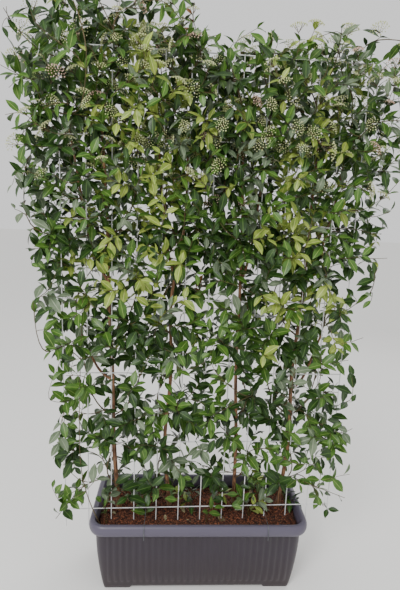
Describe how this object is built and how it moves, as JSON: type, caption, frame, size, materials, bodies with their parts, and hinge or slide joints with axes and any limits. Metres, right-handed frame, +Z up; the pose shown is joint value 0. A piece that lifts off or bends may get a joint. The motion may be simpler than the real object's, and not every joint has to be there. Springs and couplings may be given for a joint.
{
  "type": "potted laurustinus",
  "caption": "Tall flat screen of evergreen shrub: slim stems trained on a welded wire panel in a long ribbed plastic trough, leafy twigs with flower-bud heads.",
  "frame": {"origin": "on the ground, under the middle of the whole plant and trough", "axes": "+Z up, +X along the trough to the right, +Y to the back"},
  "size_m": [1.5165, 0.5054, 2.4387],
  "materials": {
    "trough": "dark grey moulded plastic, satin",
    "compost": "loose reddish-brown fibre",
    "wire": "galvanised wire",
    "bark": "thin reddish-brown bark",
    "tie": "soft tying tube",
    "foliage": "glossy evergreen leaves"
  },
  "bodies": {
    "root": {"trough": "trough", "compost": "compost", "wire_panel": "wire", "stem_1": "bark", "stem_2": "bark", "stem_3": "bark", "stem_4": "bark", "bough_1_high": "bark", "bough_1_low": "bark", "bough_2_high": "bark", "bough_3_high": "bark", "bough_4_high": "bark", "bough_4_low": "bark", "tie_1_row_3": "tie", "tie_2_row_2": "tie", "tie_2_row_3": "tie", "tie_3_row_3": "tie", "tie_4_row_2": "tie", "tie_4_row_3": "tie", "hook_front_left": "wire", "hook_front_right": "wire", "hook_back_left": "wire", "hook_back_right": "wire", "foliage_1_level_1": "foliage", "foliage_1_level_2_left": "foliage", "foliage_1_level_2_right": "foliage", "foliage_1_level_3_left": "foliage", "foliage_1_level_3_right": "foliage", "foliage_1_level_4_left": "foliage", "foliage_1_level_4_right": "foliage", "foliage_1_level_5_left": "foliage", "foliage_1_level_5_right": "foliage", "foliage_2_level_1": "foliage", "foliage_2_level_2": "foliage", "foliage_2_level_3": "foliage", "foliage_2_level_4_left": "foliage", "foliage_2_level_4_right": "foliage", "foliage_2_level_5_left": "foliage", "foliage_2_level_5_right": "foliage", "foliage_3_level_1": "foliage", "foliage_3_level_2": "foliage", "foliage_3_level_3": "foliage", "foliage_3_level_4_left": "foliage", "foliage_3_level_4_right": "foliage", "foliage_3_level_5_left": "foliage", "foliage_3_level_5_right": "foliage", "foliage_4_level_1": "foliage", "foliage_4_level_2_left": "foliage", "foliage_4_level_2_right": "foliage", "foliage_4_level_3_left": "foliage", "foliage_4_level_3_right": "foliage", "foliage_4_level_4_left": "foliage", "foliage_4_level_4_right": "foliage", "foliage_4_level_5_left": "foliage", "foliage_4_level_5_right": "foliage"}
  },
  "joints": []
}
